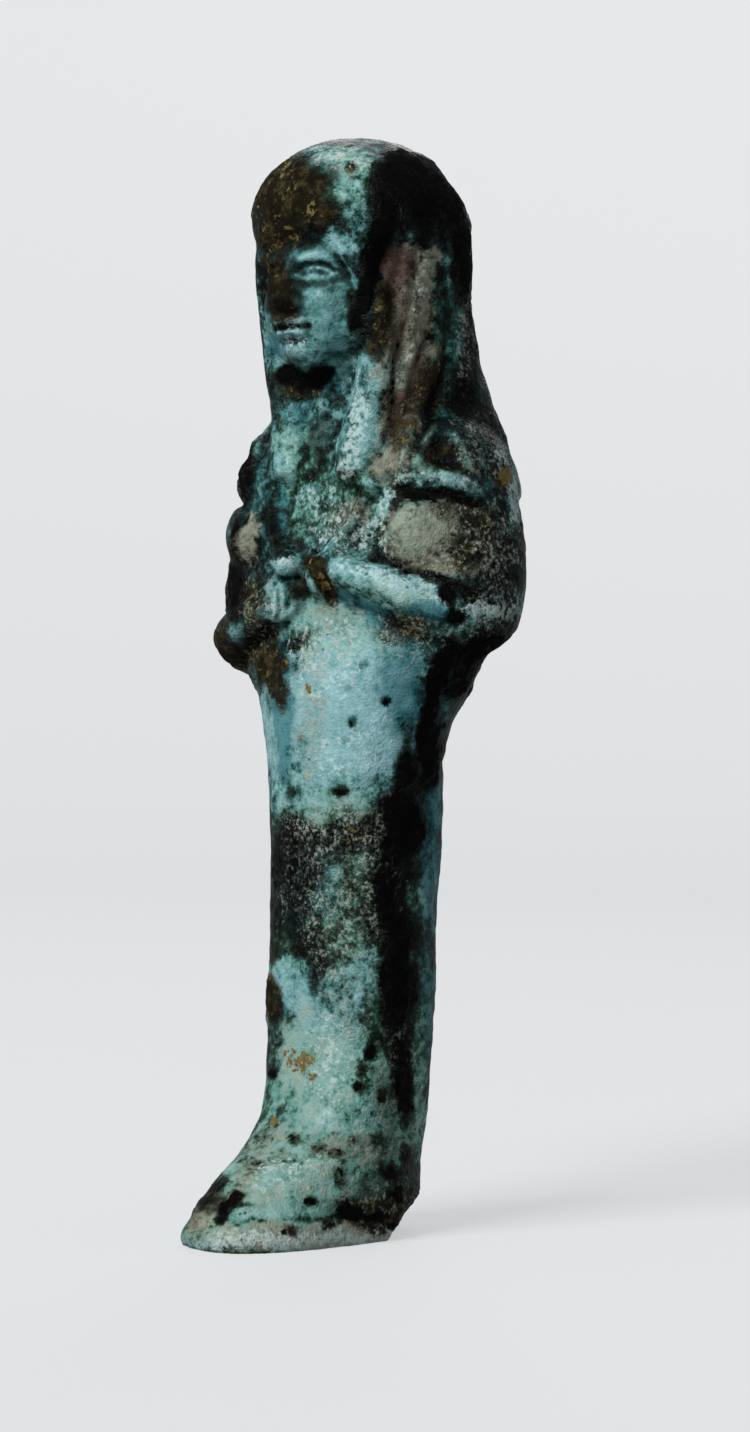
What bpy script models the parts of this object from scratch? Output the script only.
"""A small mummiform ushabti of moulded faience, standing on a low slab that is one piece with its feet.

Metres, +Z up. The figure looks along -Y and its left arm is on the +X side. The origin is on the
underside, below the middle of the body. The figure is drawn on its own canon of 110 units from the
underside to the crown, so every form is given in those units and follows FIGURE_HEIGHT. The slab under
the feet keeps its own thickness and margin.
"""

import math

import bmesh
import bpy
from mathutils import Matrix, Vector

FIGURE_HEIGHT = 0.110
SLAB_THICKNESS = 0.0021
SLAB_MARGIN = 0.0005
HEEL_CHIP_RADIUS = 0.0026

CANON = 110
UNIT = FIGURE_HEIGHT / CANON

FUSING_CELL = 0.45 * UNIT
MOULD_SOFTENING = 3
FACE_BUDGET = 8200

RING_POINTS = 40
RINGS_PER_UNIT = 1.0
GROUND_DEPTH = 3.0

GLAZE_COLOUR = (0.26, 0.50, 0.50, 1.0)
GLAZE_ROUGHNESS = 0.45

# Each level of a body is (height, half width, front, back, squareness, egg). Front and back are the
# section's reaches in Y. Squareness 2 is an ellipse. A positive egg is wider behind than in front.
LEGS_AND_TRUNK = [
    (-GROUND_DEPTH, 7.0, -21.3, 5.3, 2.7, 0.10),
    (0.5, 7.2, -21.8, 5.6, 2.7, 0.10),
    (3.0, 7.3, -20.6, 5.8, 2.6, 0.10),
    (5.5, 7.4, -17.8, 5.8, 2.5, 0.08),
    (8.5, 7.5, -13.8, 5.9, 2.4, 0.05),
    (11.5, 7.8, -10.4, 5.9, 2.4, 0.0),
    (15.5, 8.1, -8.9, 5.9, 2.5, 0.0),
    (21.0, 8.3, -8.6, 6.0, 2.6, 0.0),
    (35.0, 8.5, -8.3, 6.4, 2.5, 0.0),
    (44.0, 8.8, -8.5, 6.6, 2.5, 0.0),
    (48.5, 9.3, -8.8, 6.6, 2.4, 0.0),
    (51.5, 10.2, -9.0, 7.0, 2.3, 0.0),
    (54.0, 11.9, -9.0, 7.8, 2.2, 0.05),
    (57.0, 14.7, -8.7, 8.8, 2.2, 0.06),
    (60.0, 17.2, -8.4, 9.4, 2.2, 0.04),
    (63.0, 18.3, -8.2, 9.8, 2.3, 0.0),
    (67.0, 18.0, -7.8, 10.1, 2.4, 0.02),
    (71.0, 17.2, -7.5, 10.3, 2.4, 0.02),
    (75.5, 16.2, -7.1, 10.1, 2.4, -0.03),
    (79.0, 14.9, -6.8, 9.7, 2.5, -0.08),
    (81.5, 12.4, -5.8, 9.2, 2.4, -0.06),
    (83.5, 8.8, -4.6, 8.6, 2.2, 0.0),
]
WIG_BEHIND = [
    (106.0, 9.0, -7.6, 7.0, 2.0, 0.0),
    (102.0, 10.7, -9.0, 8.8, 2.1, 0.0),
    (98.5, 10.7, -8.8, 9.1, 2.3, 0.0),
    (95.0, 10.4, -8.0, 9.2, 2.4, 0.0),
    (91.5, 10.1, -7.0, 9.3, 2.4, 0.04),
    (88.0, 10.3, -6.2, 9.6, 2.4, 0.08),
    (84.3, 11.1, -5.5, 10.2, 2.4, 0.12),
    (81.0, 12.3, -4.9, 10.7, 2.4, 0.10),
    (77.5, 13.7, -3.2, 11.0, 2.4, 0.04),
    (74.5, 14.4, -0.2, 11.1, 2.4, 0.0),
    (72.4, 13.8, 2.6, 11.0, 2.4, 0.0),
]
NECK = [
    (76.0, 6.0, -6.4, 4.0, 2.0, 0.0),
    (82.0, 5.2, -6.2, 4.0, 2.0, 0.0),
    (88.0, 5.2, -6.8, 4.0, 2.0, 0.0),
]
LEGS_PLAN_LEVEL = 1

# Each ellipsoid is (centre, radii).
CROWN = ((0.0, -1.7, 101.7), (10.9, 10.7, 8.3))
FACE = ((0.0, -4.9, 93.6), (6.7, 6.6, 8.2))
CHIN = ((0.0, -9.6, 87.7), (2.9, 1.6, 1.5))
MOUTH_MOUND = ((0.0, -9.3, 90.3), (3.8, 1.8, 2.2))
NOSE_BRIDGE = ((0.0, -10.9, 94.4), (0.9, 1.2, 3.2))
NOSE_TIP = ((0.0, -11.8, 92.7), (1.3, 1.0, 0.9))
UPPER_LIP = ((0.0, -10.9, 90.5), (2.3, 0.6, 0.45))
LOWER_LIP = ((0.0, -10.8, 89.5), (1.9, 0.6, 0.45))
LEFT_EYE = ((2.8, -10.0, 95.1), (1.6, 0.7, 0.7))
LEFT_CHEEK = ((3.2, -7.6, 91.4), (3.1, 2.9, 3.6))
LEFT_UPPER_ARM = ((10.4, -3.0, 70.2), (4.8, 4.7, 4.9))
LEFT_FIST = ((2.6, -8.9, 65.8), (2.1, 1.9, 2.5))
RIGHT_FIST = ((-3.9, -8.8, 63.5), (2.2, 2.0, 2.3))
RIGHT_THUMB = ((-2.6, -8.8, 67.0), (1.8, 1.7, 1.5))

# Each tube is a list of (x, y, z, radius).
LEFT_BROW = [(1.0, -11.0, 96.9, 0.4), (2.8, -10.5, 97.4, 0.5), (5.2, -8.9, 96.6, 0.4)]
LEFT_LAPPET = [
    (0.0, -11.3, 99.9, 1.0),
    (3.4, -10.7, 99.5, 1.1),
    (6.1, -9.0, 97.7, 1.2),
    (7.0, -7.6, 94.5, 1.3),
    (7.1, -6.6, 91.0, 1.6),
    (6.6, -5.2, 87.0, 2.3),
    (5.5, -4.8, 83.0, 2.6),
    (4.7, -5.5, 79.0, 2.6),
    (4.4, -6.1, 75.4, 2.4),
]
LEFT_WIG_STRAND = [
    (8.6, -4.2, 97.0, 0.9),
    (8.9, -3.9, 92.0, 1.0),
    (8.8, -3.0, 87.0, 1.1),
    (8.4, -3.4, 82.5, 1.2),
    (7.9, -5.0, 77.8, 1.2),
]
LEFT_FOREARM = [
    (13.5, 0.6, 60.9, 2.6),
    (13.2, -4.6, 63.0, 2.2),
    (8.8, -7.6, 65.0, 1.8),
    (4.2, -8.8, 66.7, 1.7),
]
RIGHT_FOREARM = [
    (-14.4, -0.6, 58.6, 3.1),
    (-13.4, -4.5, 59.6, 2.9),
    (-8.8, -7.4, 61.8, 2.2),
    (-4.6, -8.6, 63.3, 1.9),
]
LEFT_HOE_HANDLE = [
    (3.0, -9.0, 67.6, 0.9),
    (5.2, -8.0, 70.4, 0.9),
    (7.0, -7.3, 73.6, 0.9),
    (8.3, -6.3, 76.6, 0.9),
]
LEFT_HOE_BLADE = [
    (8.1, -6.4, 76.4, 0.9),
    (10.9, -5.7, 76.9, 1.1),
    (13.6, -3.8, 76.4, 1.2),
    (15.4, -1.1, 75.4, 1.0),
]

HEEL_CHIP = (6.4, 5.6, 0.2)


def spline_value(levels, index, column, share):
    """Catmull-Rom value of one column between levels index and index + 1."""
    last = len(levels) - 1
    places = [max(0, min(last, index + step)) for step in (-1, 0, 1, 2)]
    before, start, end, after = [levels[place][column] for place in places]
    slope = end - before
    bend = 2 * before - 5 * start + 4 * end - after
    twist = 3 * (start - end) + after - before
    return start + 0.5 * share * (slope + share * (bend + share * twist))


def smooth_levels(levels):
    """The levels with more rings between them, on a smooth curve through the ones given."""
    finer = []
    for index in range(len(levels) - 1):
        gap = abs(levels[index + 1][0] - levels[index][0])
        steps = max(1, round(gap * RINGS_PER_UNIT))
        for step in range(steps):
            share = step / steps
            height = levels[index][0] + share * (levels[index + 1][0] - levels[index][0])
            shape = [spline_value(levels, index, column, share) for column in range(1, 6)]
            finer.append((height, *shape))
    finer.append(levels[-1])
    return finer


def section_points(level, margin=0.0):
    """The outline of one section in the XY plane, in canon units."""
    _, half_width, front, back, squareness, egg = level
    half_width += margin
    half_depth = (back - front) / 2 + margin
    centre_y = (back + front) / 2
    points = []
    for step in range(RING_POINTS):
        angle = 2 * math.pi * step / RING_POINTS
        across, along = math.cos(angle), math.sin(angle)
        x = math.copysign(abs(across) ** (2 / squareness), across) * half_width
        y = math.copysign(abs(along) ** (2 / squareness), along)
        points.append((x * (1 + egg * y), centre_y + y * half_depth))
    return points


def add_loft(clay, rings):
    """Skins a list of rings of points, and closes both ends."""
    skin = [[clay.verts.new(Vector(point) * UNIT) for point in ring] for ring in rings]
    for lower, upper in zip(skin, skin[1:]):
        for index in range(RING_POINTS):
            after = (index + 1) % RING_POINTS
            clay.faces.new((lower[index], lower[after], upper[after], upper[index]))
    clay.faces.new(reversed(skin[0]))
    clay.faces.new(skin[-1])


def add_body(clay, levels):
    rings = []
    for level in smooth_levels(levels):
        rings.append([(x, y, level[0]) for x, y in section_points(level)])
    if rings[0][0][2] > rings[-1][0][2]:
        rings.reverse()
    add_loft(clay, rings)


def add_ellipsoid(clay, centre, radii):
    place = Matrix.Translation(Vector(centre) * UNIT) @ Matrix.Diagonal((*(Vector(radii) * UNIT), 1.0))
    bmesh.ops.create_uvsphere(clay, u_segments=32, v_segments=20, radius=1.0, matrix=place)


def add_tube(clay, path):
    """A smooth tube of changing radius along a path of (x, y, z, radius)."""
    curve = bpy.data.curves.new("path", "CURVE")
    curve.dimensions = "3D"
    curve.bevel_depth = UNIT
    curve.bevel_resolution = 4
    curve.use_fill_caps = True
    spline = curve.splines.new("NURBS")
    spline.points.add(len(path) - 1)
    for point, (x, y, z, radius) in zip(spline.points, path):
        point.co = (*(Vector((x, y, z)) * UNIT), 1.0)
        point.radius = radius
    spline.order_u = 3
    spline.use_endpoint_u = True
    spline.resolution_u = 8
    guide = bpy.data.objects.new("guide", curve)
    bpy.context.scene.collection.objects.link(guide)
    graph = bpy.context.evaluated_depsgraph_get()
    tube = bpy.data.meshes.new_from_object(guide.evaluated_get(graph))
    bpy.data.objects.remove(guide)
    start = len(clay.verts)
    clay.from_mesh(tube)
    bpy.data.meshes.remove(tube)
    clay.verts.ensure_lookup_table()
    bmesh.ops.remove_doubles(clay, verts=clay.verts[start:], dist=0.01 * UNIT)


def add_ellipsoid_pair(clay, centre, radii):
    """A left-hand ellipsoid and its mirror image."""
    x, y, z = centre
    add_ellipsoid(clay, centre, radii)
    add_ellipsoid(clay, (-x, y, z), radii)


def add_tube_pair(clay, path):
    """A left-hand tube and its mirror image."""
    add_tube(clay, path)
    add_tube(clay, [(-x, y, z, radius) for x, y, z, radius in path])


def add_slab(clay):
    """The low slab under the feet, which follows the plan of the feet with a small margin."""
    plan = section_points(LEGS_AND_TRUNK[LEGS_PLAN_LEVEL], SLAB_MARGIN / UNIT)
    top = SLAB_THICKNESS / UNIT
    add_loft(clay, [[(x, y, height) for x, y in plan] for height in (-GROUND_DEPTH, top)])


def add_wig(clay):
    add_ellipsoid(clay, *CROWN)
    add_body(clay, WIG_BEHIND)
    for path in (LEFT_LAPPET, LEFT_WIG_STRAND):
        add_tube_pair(clay, path)


def add_face(clay):
    for form in (FACE, CHIN, MOUTH_MOUND, NOSE_BRIDGE, NOSE_TIP, UPPER_LIP, LOWER_LIP):
        add_ellipsoid(clay, *form)
    for form in (LEFT_EYE, LEFT_CHEEK):
        add_ellipsoid_pair(clay, *form)
    add_tube_pair(clay, LEFT_BROW)


def add_arms(clay):
    add_ellipsoid_pair(clay, *LEFT_UPPER_ARM)
    for path in (LEFT_FOREARM, RIGHT_FOREARM):
        add_tube(clay, path)
    for form in (LEFT_FIST, RIGHT_FIST, RIGHT_THUMB):
        add_ellipsoid(clay, *form)


def add_hoes(clay):
    add_tube_pair(clay, LEFT_HOE_HANDLE)
    add_tube_pair(clay, LEFT_HOE_BLADE)


def glaze():
    material = bpy.data.materials.new("turquoise_glaze")
    material.use_nodes = True
    shader = material.node_tree.nodes["Principled BSDF"]
    shader.inputs["Base Color"].default_value = GLAZE_COLOUR
    shader.inputs["Roughness"].default_value = GLAZE_ROUGHNESS
    shader.inputs["Metallic"].default_value = 0.0
    return material


def make_collection(name):
    collection = bpy.data.collections.new(name)
    bpy.context.scene.collection.children.link(collection)
    return collection


def make_cutter(name, shape, collection):
    mesh = bpy.data.meshes.new(name)
    shape.to_mesh(mesh)
    shape.free()
    cutter = bpy.data.objects.new(name, mesh)
    collection.objects.link(cutter)
    cutter.hide_render = True
    cutter.display_type = "WIRE"
    return cutter


def make_ground_cutter(collection):
    """A block whose top is the ground, so that the underside is cut flat."""
    side = FIGURE_HEIGHT
    block = bmesh.new()
    place = Matrix.Translation((0.0, 0.0, -side / 2)) @ Matrix.Diagonal((side, side, side, 1.0))
    bmesh.ops.create_cube(block, size=1.0, matrix=place)
    return make_cutter("ground", block, collection)


def make_heel_chip_cutter(collection):
    """The bite that is missing from the left back corner of the heel."""
    bite = bmesh.new()
    place = Matrix.Translation(Vector(HEEL_CHIP) * UNIT)
    bmesh.ops.create_icosphere(bite, subdivisions=2, radius=HEEL_CHIP_RADIUS, matrix=place)
    return make_cutter("heel_chip", bite, collection)


def add_cut(figure, cutter):
    cut = figure.modifiers.new("Cut " + cutter.name, "BOOLEAN")
    cut.operation = "DIFFERENCE"
    cut.object = cutter


def fuse(figure):
    """Fuses the overlapping forms into one skin, softens it as a worn mould does, and thins its faces."""
    skin = figure.modifiers.new("Fuse", "REMESH")
    skin.mode = "VOXEL"
    skin.voxel_size = FUSING_CELL
    soften = figure.modifiers.new("Soften", "SMOOTH")
    soften.factor = 0.5
    soften.iterations = MOULD_SOFTENING
    graph = bpy.context.evaluated_depsgraph_get()
    fine = len(figure.evaluated_get(graph).data.polygons) * 2
    thin = figure.modifiers.new("Thin", "DECIMATE")
    thin.ratio = min(1.0, FACE_BUDGET / fine)


def make_figure():
    clay = bmesh.new()
    add_body(clay, LEGS_AND_TRUNK)
    add_slab(clay)
    add_body(clay, NECK)
    add_wig(clay)
    add_face(clay)
    add_arms(clay)
    add_hoes(clay)
    bmesh.ops.recalc_face_normals(clay, faces=clay.faces)
    mesh = bpy.data.meshes.new("ushabti_figure")
    clay.to_mesh(mesh)
    clay.free()
    mesh.materials.append(glaze())
    figure = bpy.data.objects.new("ushabti_figure", mesh)
    make_collection("ushabti").objects.link(figure)
    fuse(figure)
    cutters = make_collection("cutters")
    add_cut(figure, make_ground_cutter(cutters))
    add_cut(figure, make_heel_chip_cutter(cutters))
    return figure


for startup_object in list(bpy.data.objects):
    bpy.data.objects.remove(startup_object)
make_figure()
